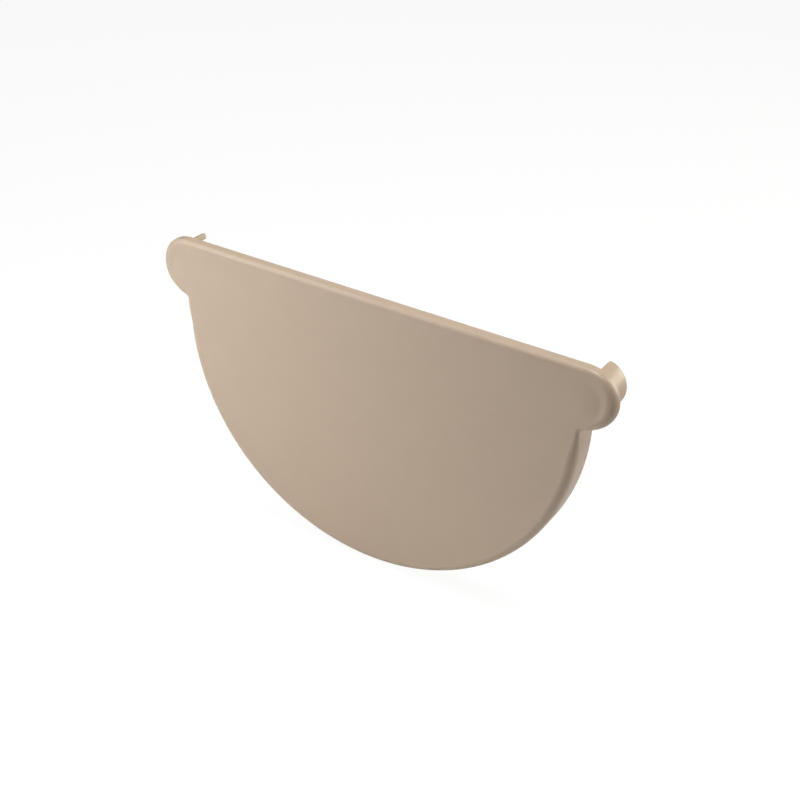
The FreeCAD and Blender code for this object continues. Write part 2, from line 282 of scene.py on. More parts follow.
# The soft lights by name: turn to the right of the face's own axis and height above level in
# degrees, distance, width, brightness and colour.
SOFT_LIGHTS = {
    "key_low": (-30, 3, 0.20, 0.09, 4.0, NEUTRAL),
    "key_near": (-55, 12, 0.16, 0.07, 2.4, NEUTRAL),
    "key_high": (-45, 40, 0.32, 0.16, 2.75, NEUTRAL),
    "left_high": (-70, 55, 0.35, 0.20, 0.9, NEUTRAL),
    "left_low": (-60, -4, 0.22, 0.10, 0.55, NEUTRAL),
    "right_top": (75, 72, 0.40, 0.15, 9.9, NEUTRAL),
    "rear_top": (170, 80, 0.50, 0.30, 2.9, NEUTRAL),
    "rear_low": (136, 14, 0.60, 0.30, 5.5, WARM),
}
# Half the floor's width, its colour, the brightness of the even white that the camera sees over it,
# and the share of the floor's own shading that the white covers.
FLOOR_HALF = 3.0
FLOOR_COLOUR = (0.8, 0.8, 0.8, 1.0)
FLOOR_WHITE = 1.08
FLOOR_COVER = 0.86
# The rearward parts of a direction at which the room's glow sets in and is full.
GLOW_START = -0.1
GLOW_FULL = 0.7
# The camera's sensor in millimetres, and the nearest that it sees.
SENSOR_WIDTH = 36.0
NEAR_CLIP = 0.01


# Runs across the gutter, and sections that are carried along them.

def arc(centre, radius, first, last, steps, outward=1.0):
    """Points on a circle, evenly spaced between two angles in radians, and the normals away from its
    centre, or towards it where outward is -1."""
    angle = np.linspace(first, last, steps + 1)
    spoke = np.column_stack((np.cos(angle), np.sin(angle)))
    return np.array(centre) + radius * spoke, outward * spoke


def line(start, end, steps):
    """Points evenly spaced on a straight line, and the normal on its right-hand side."""
    start, end = np.array(start), np.array(end)
    along = (end - start) / np.linalg.norm(end - start)
    share = np.linspace(0, 1, steps + 1)[:, None]
    normal = np.array((along[1], -along[0]))
    return start + share * (end - start), np.tile(normal, (steps + 1, 1))


def chain(*runs):
    """Several runs, one after another. Each starts in the direction and at the point where the one
    before it ends, and that point is kept once."""
    return tuple(np.concatenate([runs[0][part]] + [run[part][1:] for run in runs[1:]])
                 for part in range(2))


def bend(inset, place, radius, first, last, steps):
    """Rows of a section on a circle about (inset, place): inset - radius cos(lean) and
    place + radius sin(lean), as the lean goes from one angle in degrees to another."""
    lean = np.radians(np.linspace(first, last, steps + 1))
    return np.column_stack((inset - radius * np.cos(lean), place + radius * np.sin(lean), lean))


def spot(inset, place, lean):
    """One row of a section. The lean of its normal is 0 degrees outwards and 90 to the rear."""
    return np.array([(inset, place, math.radians(lean))])


def sweep(run, section):
    """A section carried along a run: the point goes inwards along the run's normal by its inset and
    to its place along Y, and its normal turns from the run's normal to +Y by its lean."""
    points, normals = run
    inset, place, lean = (section[:, k][:, None] for k in range(3))
    grid = np.empty((len(section), len(points), 3))
    grid[..., 0] = points[:, 0] - inset * normals[:, 0]
    grid[..., 1] = place
    grid[..., 2] = points[:, 1] - inset * normals[:, 1]
    facing = np.empty_like(grid)
    facing[..., 0] = np.cos(lean) * normals[:, 0]
    facing[..., 1] = np.sin(lean)
    facing[..., 2] = np.cos(lean) * normals[:, 1]
    return grid, facing


# Patches: each is its points, a normal for each and its faces by point number.

def grid_patch(grid, facing):
    """The quads of a grid of points."""
    rows, columns = grid.shape[:2]
    number = np.arange(rows * columns).reshape(rows, columns)
    quads = np.stack((number[:-1, :-1], number[:-1, 1:], number[1:, 1:], number[1:, :-1]), axis=-1)
    return grid.reshape(-1, 3), facing.reshape(-1, 3), quads.reshape(-1, 4)


def fill_patch(loop, normal):
    """A flat region inside one closed loop of points, as triangles. A triangle repeats its last
    point, so that every face has four."""
    loop = np.asarray(loop)
    loop = loop[np.linalg.norm(loop - np.roll(loop, 1, axis=0), axis=1) > WELD_STEP]
    normal = Vector(normal).normalized()
    across = normal.orthogonal().normalized()
    flat = loop @ np.column_stack((across, normal.cross(across))) * FILL_SCALE
    everything = [list(range(len(loop)))]
    points, _, triangles, sources, _, _ = delaunay_2d_cdt(
        [Vector(point) for point in flat], [], everything, FILL_INSIDE, WELD_STEP)
    if len(points) != len(loop) or len(triangles) != len(loop) - 2:
        raise RuntimeError(f"A flat region of {len(loop)} points has {len(triangles)} triangles.")
    source = np.array([numbers[0] for numbers in sources])
    facing = np.tile(np.array(normal), (len(loop), 1))
    return loop, facing, source[np.array(triangles)][:, [0, 1, 2, 2]]


def mirrored(patch):
    """The patch's mirror image across the middle of the cap."""
    points, facing, quads = patch
    flip = np.array((-1.0, 1.0, 1.0))
    return points * flip, facing * flip, quads


def skin_mesh(name, cavity, core):
    """One mesh from the patches that the mould's cavity forms, which take the first material, and
    those of its core, which take the second. Points at the same place become one vertex, each patch
    is turned to the side of its own normals, and a quad whose corners meet becomes a triangle."""
    patches = cavity + core
    starts = np.cumsum([0] + [len(patch[0]) for patch in patches[:-1]])
    points = np.concatenate([patch[0] for patch in patches])
    facing = np.concatenate([patch[1] for patch in patches])
    facing /= np.linalg.norm(facing, axis=1, keepdims=True)
    quads = np.concatenate([patch[2] + start for patch, start in zip(patches, starts)])
    patch_of = np.repeat(np.arange(len(patches)), [len(patch[2]) for patch in patches])

    corners = points[quads]
    across = np.cross(corners[:, 2] - corners[:, 0], corners[:, 3] - corners[:, 1])
    agrees = (across * facing[quads].sum(axis=1)).sum(axis=1)
    wrong = np.bincount(patch_of, agrees)[patch_of] < 0
    quads[wrong] = quads[wrong][:, ::-1]

    steps = np.floor(points / WELD_STEP + WELD_SHIFT).astype(np.int64)
    _, first, vertex = np.unique(steps, axis=0, return_index=True, return_inverse=True)
    vertex = vertex.reshape(-1)
    welded = vertex[quads]
    meets = welded == np.roll(welded, -1, axis=1)
    whole = meets.sum(axis=1) == 0
    part = meets.sum(axis=1) == 1
    keep = (meets[part].argmax(axis=1)[:, None] + np.arange(1, 4)) % 4
    triangles = np.take_along_axis(quads[part], keep, axis=1)

    mesh = bpy.data.meshes.new(name)
    faces = vertex[quads[whole]].tolist() + vertex[triangles].tolist()
    mesh.from_pydata(points[first].tolist(), [], faces)
    loops = np.concatenate((quads[whole].reshape(-1), triangles.reshape(-1)))
    in_core = np.concatenate((patch_of[whole], patch_of[part])) >= len(cavity)
    mesh.polygons.foreach_set("material_index", in_core.astype(np.int32))
    mesh.polygons.foreach_set("use_smooth", np.ones(len(mesh.polygons), bool))
    mesh.normals_split_custom_set(facing[loops].tolist())
    exposed = mesh.attributes.new("exposed_edge", "FLOAT", "POINT")
    exposed.data.foreach_set("value", edge_exposure(points, facing, quads, vertex, len(first)))
    mesh.update()
    return mesh


def edge_exposure(points, facing, quads, vertex, count):
    """How sharply the skin turns outwards at each vertex: the turn of the normal along an edge of
    the mesh over the edge's length, the largest that meets there, as a share of SHARP_TURN."""
    start, end = quads.reshape(-1), np.roll(quads, -1, axis=1).reshape(-1)
    step, turn = points[end] - points[start], facing[end] - facing[start]
    length = np.maximum((step ** 2).sum(axis=1), WELD_STEP ** 2)
    bending = (turn * step).sum(axis=1) / length
    exposure = np.zeros(count)
    for side in (start, end):
        np.maximum.at(exposure, vertex[side], bending)
    return np.clip(exposure / SHARP_TURN, 0, 1).astype(np.float32)


# The cap's right half, region by region.

def ease(value, low, high):
    """A smooth step from 0 at low to 1 at high: 3 t squared - 2 t cubed, with its slope."""
    share = np.clip((value - low) / (high - low), 0, 1)
    return share * share * (3 - 2 * share), 6 * share * (1 - share) / (high - low)


def notch_place(sizes):
    """The centre of the hollow corner beside an ear, and the direction from there to the ear."""
    x = SKIRT_RADIUS + sizes.notch_rounding
    reach = EAR_RADIUS + sizes.notch_rounding
    z = BEAD_Z - math.sqrt(reach ** 2 - (x - BEAD_X) ** 2)
    return (x, z), math.atan2(BEAD_Z - z, BEAD_X - x)


def outline_runs(sizes):
    """The face's outline from the bottom up its right side to the middle of the top: the half-round,
    the upright side, the notch, the ear and the top edge."""
    centre, to_ear = notch_place(sizes)
    half_round = arc((0, 0), SKIRT_RADIUS, -math.pi / 2, 0, HALF_ROUND_STEPS)
    side = line((SKIRT_RADIUS, 0), (SKIRT_RADIUS, centre[1]), SIDE_STEPS)
    notch = arc(centre, sizes.notch_rounding, math.pi, to_ear, NOTCH_STEPS, -1)
    ear = arc((BEAD_X, BEAD_Z), EAR_RADIUS, to_ear - math.pi, math.pi / 2, EAR_STEPS)
    top = line((BEAD_X, TOP_Z), (0, TOP_Z), TOP_STEPS)
    return half_round, side, notch, ear, top


def bell(value, middle, spread):
    """A bell curve, exp(-t squared) with t = (value - middle) / spread, and its slope."""
    share = (value - middle) / spread
    height = np.exp(-share ** 2)
    return height, height * -2 * share / spread


def directions(flat, centre):
    """Distance of points from a centre across the gutter, and the unit directions away from it."""
    away = flat - np.array(centre)
    distance = np.linalg.norm(away, axis=-1)
    return distance, away / np.maximum(distance, WELD_STEP)[..., None]


def face_relief(sizes, flat, inset, start, normals):
    """How far the face is sunk at points that lie an inset inside the outline, and the slope of that
    across the face. The face dips just inside its soft edge, which ends at the start. Bell-shaped
    sink marks follow the rib and the root of the hook, and a small flat-bottomed mark is left where
    the melt came in."""
    dish, dish_slope = ease(inset - start, 0, DISH_FADE)
    clear = ease(inset - start, 0, CLEAR_FADE)[0]

    rib_middle = sizes.rim_wall + sizes.groove + sizes.rib_wall / 2
    over_rib = 1 - ease(flat[..., 1], *RIB_MARK_FADE)[0]
    rib, rib_slope = bell(inset, rib_middle - RIB_MARK_SHIFT, RIB_MARK_SPREAD)

    side = np.where(flat[..., 0] < 0, -1.0, 1.0)
    bead = np.stack((side * BEAD_X, np.full_like(side, BEAD_Z)), axis=-1)
    bead_distance, from_bead = directions(flat, bead)
    lean = math.cos(HOOK_MARK_LEAN), math.sin(HOOK_MARK_LEAN)
    outwards = from_bead[..., 0] * side * lean[0] + from_bead[..., 1] * lean[1]
    over_hook = ease(outwards, *HOOK_MARK_FADE)[0] * clear
    hook, hook_slope = bell(bead_distance, HOOK_INNER - HOOK_MARK_SHIFT, HOOK_MARK_SPREAD)

    gate_distance, from_gate = directions(flat, sizes.gate_place)
    gate, gate_slope = ease(gate_distance, GATE_FLOOR * sizes.gate_radius, sizes.gate_radius)

    depth = (sizes.dish_depth * dish + sizes.rib_sink * over_rib * rib
             + sizes.hook_sink * over_hook * hook + sizes.gate_depth * (1 - gate))
    inward = sizes.dish_depth * dish_slope + sizes.rib_sink * over_rib * rib_slope
    slope = (-inward[..., None] * normals[None]
             + (sizes.hook_sink * over_hook * hook_slope)[..., None] * from_bead
             - (sizes.gate_depth * gate_slope)[..., None] * from_gate)
    return depth, slope


def face_patch(sizes, right_side):
    """The whole flat face: rings that run parallel to the outline near the edge, then turn step by
    step into circles round the gate's mark and close there. The circles' points spread out evenly."""
    flip = np.array((-1.0, 1.0))
    points, normals = (np.concatenate((item, item[-2::-1] * flip)) for item in right_side)
    start = edge_extent(sizes, points)[0]
    insets = start + OUTER_RINGS[:, None]
    rings = points - insets[..., None] * normals

    reach, spokes = directions(rings[-1], sizes.gate_place)
    largest = sizes.gate_radius * LAST_MIDDLE_RING
    shares = 1 - MIDDLE_RINGS
    gate_rings = sizes.gate_radius * GATE_RINGS
    radii = np.concatenate((largest + shares[:, None] * (reach - largest)[None],
                            np.tile(gate_rings[:, None], len(reach))))

    # The angles grow by the least step or more. Evenness is 0 up to the last of the middle rings.
    angle = np.unwrap(np.arctan2(spokes[:, 1], spokes[:, 0]))
    least = LEAST_ANGLE * np.arange(len(angle))
    angle[:-1] = (np.maximum.accumulate(angle - least) + least)[:-1]
    even = np.linspace(angle[0], angle[-1], len(angle))
    evenness = np.clip(EVENING * np.arange(1 - len(shares), 1 + len(gate_rings)), 0, 1)[:, None]
    angle = angle + evenness * (even - angle)
    spokes = np.stack((np.cos(angle), np.sin(angle)), axis=-1)

    inner = np.array(sizes.gate_place) + radii[..., None] * spokes
    flat = np.concatenate((rings, inner))
    inset = np.concatenate((insets, np.full(radii.shape, FAR_INSIDE)))
    depth, slope = face_relief(sizes, flat, inset, start, normals)
    grid = np.stack((flat[..., 0], FACE_Y + depth, flat[..., 1]), axis=-1)
    facing = np.stack((slope[..., 0], np.full(depth.shape, -1.0), slope[..., 1]), axis=-1)
    return grid_patch(grid, facing)


def edge_extent(sizes, points):
    """How far the soft edge reaches in and back at points of the outline. Both go over to the top
    edge's radius above the bead's middle, with the square of the height, and smoothly at the notch."""
    height = points[:, 1]
    rise = np.clip((height - BEAD_Z) / EAR_RADIUS, 0, 1) ** 2
    notch = notch_place(sizes)[0][1]
    away = np.where(height < notch,
                    (notch - height) / NOTCH_FADE_BELOW, (height - notch) / NOTCH_FADE_ABOVE)
    share = np.maximum(rise, 1 - ease(away, 0, 1)[0])
    width = sizes.edge_width + share * (sizes.top_edge - sizes.edge_width)
    depth = sizes.edge_depth + share * (sizes.top_edge - sizes.edge_depth)
    return width, depth


def soft_edge(sizes, run):
    """The soft edge from the face to the side: a quarter of an ellipse at each point of the run."""
    points, normals = run
    width, depth = edge_extent(sizes, points)
    lean = np.radians(np.linspace(-90, 0, SOFT_STEPS + 1))[:, None]
    inset = width * (1 - np.cos(lean))
    grid = np.stack((points[:, 0] - inset * normals[:, 0], FACE_Y + depth * (1 + np.sin(lean)),
                     points[:, 1] - inset * normals[:, 1]), axis=-1)
    out, back = np.cos(lean) / width, np.sin(lean) / depth
    facing = np.stack((out * normals[:, 0], back, out * normals[:, 1]), axis=-1)
    return grid, facing / np.linalg.norm(facing, axis=-1, keepdims=True)


def wall_section(rear, wall, edge):
    """The rear of a wall: round its outer edge, across and round its inner edge."""
    return np.concatenate((
        bend(edge, rear - edge, edge, 0, 90, EDGE_STEPS),
        bend(wall - edge, rear - edge, edge, 90, 180, EDGE_STEPS)))


def parted(item, row):
    """A grid's two sides of the mould: its rows up to one row, and its rows from there on."""
    grid, facing = item
    return grid_patch(grid[:row + 1], facing[:row + 1]), grid_patch(grid[row:], facing[row:])


def skirt_section(sizes):
    """The skirt behind the rim: over its rear edge and down its inside to the floor."""
    return np.concatenate((
        spot(0, sizes.rim_rear, 0),
        wall_section(sizes.skirt_rear, sizes.rim_wall, sizes.edge_rounding),
        spot(sizes.rim_wall, STOP_Y, 180)))


def skirt_grid(sizes, half_round, side):
    """The outside from the face's edge over the skirt and down its inside to the floor."""
    outline = chain(half_round, side)
    parts = soft_edge(sizes, outline), sweep(outline, skirt_section(sizes))
    return tuple(np.concatenate(item) for item in zip(*parts))


def arm_grid(sizes, low):
    """The skirt's arm behind the ear, from the notch up to the underside of the hook: each row is a
    point of the skirt's section, and its columns share out the height to the hook above it."""
    section = skirt_section(sizes)
    x = SKIRT_RADIUS - section[:, 0]
    top = BEAD_Z - np.sqrt((HOOK_INNER + sizes.hook_wall) ** 2 - (x - BEAD_X) ** 2)
    share = np.linspace(0, 1, ARM_STEPS + 1)
    grid = np.empty((len(section), len(share), 3))
    grid[..., 0] = x[:, None]
    grid[..., 1] = section[:, 1][:, None]
    grid[..., 2] = low + share[None] * (top - low)[:, None]
    facing = np.zeros_like(grid)
    facing[..., 0] = np.cos(section[:, 2])[:, None]
    facing[..., 1] = np.sin(section[:, 2])[:, None]
    return grid, facing


def hook_angle(sizes, share, radius):
    """Angle round the bead: it starts on the line of the skirt's inside and ends at the hook's tip."""
    inside = SKIRT_RADIUS - sizes.rim_wall
    first = -np.arccos((inside - BEAD_X) / radius)
    return first + share * (sizes.hook_reach - first)


def hook_patches(sizes, arm):
    """The hook and the wall of the bay in front of it. Each column is the hook's section at one angle
    round the bead. The section ends early near the tip, to round its rear corner, and its outside
    draws in there."""
    edge = sizes.edge_rounding
    corner = sizes.hook_corner
    outer = HOOK_INNER + sizes.hook_wall
    reach = sizes.hook_reach

    # The columns over the skirt's arm stand on the points of its rear edge.
    foot = arm[1:-1, -1][::-1]
    foot_angle = np.arctan2(foot[:, 2] - BEAD_Z, foot[:, 0] - BEAD_X)
    tip_angle = reach - TIP_COLUMNS / outer
    curl = np.linspace(foot_angle[-1], tip_angle[0], HOOK_STEPS + 1)[1:-1]
    outer_angle = np.concatenate((foot_angle, curl, tip_angle))
    first = hook_angle(sizes, 0, outer)
    share = (outer_angle - first) / (reach - first)

    from_tip = (reach - outer_angle) * outer
    short = np.clip(1 - from_tip / corner, 0, 1)
    rear = HOOK_Y - corner * (1 - np.sqrt(1 - short ** 2))
    close = np.clip(1 - from_tip / edge, 0, 1)
    draw_in = edge * (1 - np.sqrt(1 - close ** 2))

    def shell(radius, place, lean):
        """Rows at a radius and a place, with a lean from outwards (0) through the rear (90)."""
        radius, place, lean = (np.asarray(item, float)[:, None] for item in (radius, place, lean))
        outside = (radius - HOOK_INNER) / sizes.hook_wall
        angle = hook_angle(sizes, share[None], radius)
        spoke = radius - outside * draw_in[None]
        back_place = place + (rear - HOOK_Y)[None] * (place > sizes.skirt_rear)
        grid = np.stack((BEAD_X + spoke * np.cos(angle), back_place,
                         BEAD_Z + spoke * np.sin(angle)), axis=-1)
        outward = np.clip(np.cos(lean), 0, 1) * close[None]
        ahead = np.sin(lean) * short[None] + outward
        out = np.cos(lean) * np.sqrt(1 - outward ** 2)
        back = np.sin(lean) * np.sqrt(1 - short[None] ** 2)
        facing = np.stack((out * np.cos(angle) - ahead * np.sin(angle), back,
                           out * np.sin(angle) + ahead * np.cos(angle)), axis=-1)
        return grid, facing

    section = wall_section(HOOK_Y, sizes.hook_wall, edge)
    over = shell(outer - section[:, 0], section[:, 1], section[:, 2])

    # Walls below the rounded rear edges.
    foot_count = len(foot)
    outside = shell([outer] * 3, [sizes.rim_rear, sizes.skirt_rear - edge, HOOK_Y - edge], [0, 0, 0])
    outside = tuple(item[:, foot_count - 1:] for item in outside)
    under = over[0][0, :foot_count]
    step = np.stack((foot, under))
    step_facing = np.stack([over[1][0, :foot_count]] * 2)
    inside = shell([HOOK_INNER] * 3, [HOOK_Y - edge, sizes.rim_rear, STOP_Y], [math.pi] * 3)

    tip_normal = (-math.sin(reach), 0, math.cos(reach))
    tip = np.concatenate((outside[0][:, -1], over[0][1:-1, -1], inside[0][:2, -1]))
    foot_face = np.concatenate((arm[-2:, -1][::-1], over[0][:, 0], inside[0][1:, 0]))
    over_cavity, over_core = parted(over, EDGE_STEPS)
    cavity = [over_cavity, grid_patch(*outside), fill_patch(tip, tip_normal)]
    core = [over_core, grid_patch(step, step_facing), grid_patch(*inside),
            fill_patch(foot_face, (-1, 0, 0))]
    return cavity, core, outside[0][0], inside[0][-1]


def rim_patch(sizes, notch, ear, top):
    """The side and rear edge of the rim from the notch round the ear and along the top. The rounding
    of the rear edge fades out where the rim runs into the skirt's arm."""
    outline = chain(notch, ear, top)
    travelled = np.concatenate(((0,), np.cumsum(np.linalg.norm(np.diff(outline[0], axis=0), axis=1))))
    edge = sizes.edge_rounding * ease(travelled, 0, RIM_EDGE_FADE)[0]
    lean = np.radians(np.linspace(0, 90, EDGE_STEPS + 1))[:, None]
    front = soft_edge(sizes, outline)
    points, normals = outline
    inset = edge * (1 - np.cos(lean))
    rear = np.stack((points[:, 0] - inset * normals[:, 0],
                     sizes.rim_rear - edge * (1 - np.sin(lean)),
                     points[:, 1] - inset * normals[:, 1]), axis=-1)
    facing = np.stack((np.cos(lean) * normals[:, 0], np.sin(lean) * np.ones(len(points)),
                       np.cos(lean) * normals[:, 1]), axis=-1)
    grid = np.concatenate((front[0], rear))
    return grid_patch(grid, np.concatenate((front[1], facing))), rear[-1]


def hollow_runs(sizes):
    """The upper part of the hollow's outline, from the middle of the top to the hook's tip."""
    inside = SKIRT_RADIUS - sizes.rim_wall
    top = TOP_Z - sizes.rim_wall
    cross = math.acos((inside - BEAD_X) / HOOK_INNER)
    corner = BEAD_Z + HOOK_INNER * math.sin(cross)
    return (line((0, top), (inside, top), TOP_STEPS),
            line((inside, top), (inside, corner), HOLLOW_SIDE_STEPS),
            arc((BEAD_X, BEAD_Z), HOOK_INNER, cross, sizes.hook_reach, HOLLOW_BEAD_STEPS, -1))


def rib_patches(sizes):
    """The rib inside the gutter: its section swept along a quarter circle and an upright arm."""
    radius = SKIRT_RADIUS - sizes.rim_wall - sizes.groove
    run = chain(arc((0, 0), radius, -math.pi / 2, 0, RIB_STEPS),
                line((radius, 0), (radius, sizes.rib_top), ARM_STEPS))
    section = np.concatenate((
        spot(0, STOP_Y, 0),
        wall_section(sizes.rib_rear, sizes.rib_wall, sizes.edge_rounding),
        spot(sizes.rib_wall, STOP_Y, 180)))
    grid, facing = sweep(run, section)
    return [grid_patch(grid, facing), fill_patch(grid[:, -1], (0, 0, 1))], grid[0], grid[-1]


def cap_patches(sizes):
    """The patches of the cap's right half behind the face: those that the mould's cavity forms, and
    those that its core forms."""
    half_round, side, notch, ear, top = outline_runs(sizes)
    skirt = skirt_grid(sizes, half_round, side)
    arm = arm_grid(sizes, notch[0][0][1])
    hook_cavity, hook_core, hook_foot, bay = hook_patches(sizes, arm[0])
    rim, rim_edge = rim_patch(sizes, notch, ear, top)
    rib, rib_out, rib_in = rib_patches(sizes)

    hollow_section = np.concatenate((spot(0, sizes.rim_rear, 0), spot(0, STOP_Y, 0)))
    hollow = [sweep(run, hollow_section) for run in hollow_runs(sizes)]
    hollow_rear = np.concatenate([grid[0] for grid, _ in hollow])
    hollow_floor = np.concatenate([grid[-1] for grid, _ in hollow])

    # The rim's rear: out along its edge, back along the hollow, the hook and the skirt's arm.
    rear_loop = np.concatenate((rim_edge, hollow_rear, hook_foot[::-1], arm[0][0][::-1]))
    # The floor: along the hollow and the skirt's inside, and back along the rib.
    floor_loop = np.concatenate((
        hollow_floor, bay[::-1], arm[0][-1][::-1], skirt[0][-1][::-1], rib_out, rib_in[::-1]))

    # The cavity's side ends where the rounding of the outer rear edge does.
    outer_edge = SOFT_STEPS + EDGE_STEPS + 2
    skirt_cavity, skirt_core = parted(skirt, outer_edge)
    arm_cavity, arm_core = parted(arm, EDGE_STEPS + 1)
    cavity = [skirt_cavity, arm_cavity, rim, *hook_cavity]
    core = [
        skirt_core, arm_core, *hook_core, *rib, *(grid_patch(*item) for item in hollow),
        fill_patch(rear_loop, (0, 1, 0)), fill_patch(floor_loop, (0, 1, 0))]
    return cavity, core


# Materials.

# How strong each finer layer of a noise is, as a share of the layer before it.
NOISE_ROUGHNESS = 0.55
# How closely the streaks lie side by side, and how much they change on each metre of their way.
STREAK_SCALE = 6.0
STREAK_DRIFT = 18.0
# The width of a soft cloud, and how much the clouds change the roughness.
CLOUD_SIZE = 0.018
CLOUD_DULLING = 0.08
# The width of a ripple under the grain, and its height in heights of the grain.
RIPPLE_SIZE = 0.0026
RIPPLE_SHARE = 2.5
# The width of a rubbed patch, and the factor and offset that turn its noise into rubbing.
PATCH_SIZE = 0.006
PATCH_CONTRAST = 2.4
PATCH_OFFSET = -0.6


class NodeSheet:
    """A node tree that is being laid out, with short calls to add nodes and links."""

    def __init__(self, tree):
        self.tree = tree
        tree.nodes.clear()

    def add(self, kind, inputs=None, **settings):
        """A node with its settings, and its inputs by name: a value, or another node's output."""
        node = self.tree.nodes.new(kind)
        for key, value in settings.items():
            setattr(node, key, value)
        for key, value in (inputs or {}).items():
            if isinstance(value, bpy.types.NodeSocket):
                self.tree.links.new(value, node.inputs[key])
            else:
                node.inputs[key].default_value = value
        return node

    def math(self, operation, *values, clamp=False):
        """The result of a Math node."""
        node = self.add("ShaderNodeMath", dict(enumerate(values)), operation=operation, use_clamp=clamp)
        return node.outputs["Value"]

    def vector(self, operation, *values, result="Vector"):
        """The result of a Vector Math node."""
        node = self.add("ShaderNodeVectorMath", dict(enumerate(values)), operation=operation)
        return node.outputs[result]

    def noise(self, place, scale, detail=2.0, **settings):
        """A noise texture."""
        inputs = {"Vector": place, "Scale": scale, "Detail": detail, "Roughness": NOISE_ROUGHNESS}
        return self.add("ShaderNodeTexNoise", inputs, **settings)


def new_group(name, inputs, outputs):
    """An empty shader node group with these sockets, as a sheet, with its given inputs."""
    tree = bpy.data.node_groups.new(name, "ShaderNodeTree")
    sheet = NodeSheet(tree)
    for direction, sockets in (("INPUT", inputs), ("OUTPUT", outputs)):
        for socket, kind in sockets.items():
            tree.interface.new_socket(socket, in_out=direction, socket_type=f"NodeSocket{kind}")
    return sheet, sheet.add("NodeGroupInput").outputs


def moulding_grain():
    """The mould's surface as a height: fine grain over a soft ripple."""
    sheet, given = new_group(
        "moulding_grain",
        {"Place": "Vector", "Grain Size": "Float", "Ripple Size": "Float", "Ripple Share": "Float"},
        {"Height": "Float", "Fleck": "Float"})
    grain_scale = sheet.math("DIVIDE", 1.0, given["Grain Size"])
    grain = sheet.noise(given["Place"], grain_scale, detail=3.0).outputs["Fac"]
    ripple_scale = sheet.math("DIVIDE", 1.0, given["Ripple Size"])
    ripple = sheet.noise(given["Place"], ripple_scale, detail=1.0).outputs["Fac"]
    height = sheet.math("MULTIPLY_ADD", ripple, given["Ripple Share"], grain)
    sheet.add("NodeGroupOutput", {"Height": height, "Fleck": grain})
    return sheet.tree


def melt_flow():
    """What the melt left in the colour: streaks that run out from the gate, and soft clouds."""
    sheet, given = new_group(
        "melt_flow", {"Place": "Vector", "Gate": "Vector", "Streaks": "Float", "Cloud Size": "Float"},
        {"Streak": "Float", "Cloud": "Float"})
    away = sheet.vector("SUBTRACT", given["Place"], given["Gate"])
    spoke = sheet.vector("NORMALIZE", away)
    travelled = sheet.math("MULTIPLY", sheet.vector("LENGTH", away, result="Value"), STREAK_DRIFT)
    streak = sheet.noise(spoke, given["Streaks"], noise_dimensions="4D")
    sheet.tree.links.new(travelled, streak.inputs["W"])
    cloud = sheet.noise(given["Place"], sheet.math("DIVIDE", 1.0, given["Cloud Size"]))
    sheet.add("NodeGroupOutput", {"Streak": streak.outputs["Fac"], "Cloud": cloud.outputs["Fac"]})
    return sheet.tree


def edge_rub_and_sheen():
    """Where handling has polished the sharp outer edges, and where a painted sheen lightens their colour:
    the edge's exposure, broken up in patches.
    """
    sheet, given = new_group(
        "edge_rub_and_sheen", {"Place": "Vector", "Exposure": "Float", "Patch Size": "Float"}, {"Rub And Sheen": "Float"})
    patches = sheet.noise(given["Place"], sheet.math("DIVIDE", 1.0, given["Patch Size"])).outputs["Fac"]
    worn = sheet.math("MULTIPLY_ADD", patches, PATCH_CONTRAST, PATCH_OFFSET)
    sheet.add("NodeGroupOutput", {"Rub And Sheen": sheet.math("MULTIPLY", given["Exposure"], worn, clamp=True)})
    return sheet.tree


